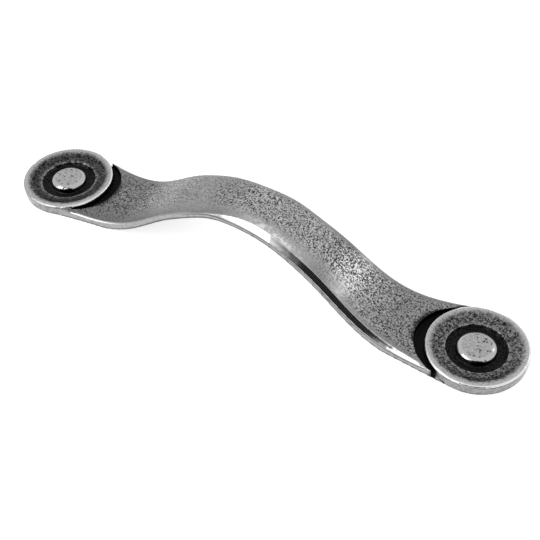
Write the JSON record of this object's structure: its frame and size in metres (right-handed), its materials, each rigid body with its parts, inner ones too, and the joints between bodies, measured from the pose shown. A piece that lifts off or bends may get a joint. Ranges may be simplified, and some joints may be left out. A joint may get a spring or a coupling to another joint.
{
  "type": "arch pull",
  "caption": "Cast arch pull for a drawer or cabinet door: a waisted, bevelled strap that twists into a dished roundel with a domed button at each end, screwed on from behind.",
  "frame": {"origin": "on the flat back, midway between the two fixing holes", "axes": "+X along the pull through both fixing holes, +Z out of the drawer front towards the hand, +Y across the strap"},
  "size_m": [0.154, 0.026, 0.0222],
  "materials": {
    "aged_pewter": "cast grey metal with a dark patina left in the hollows and pits, worn bright along the edges"
  },
  "bodies": {
    "root": {"arch_pull": "aged_pewter"}
  },
  "joints": []
}
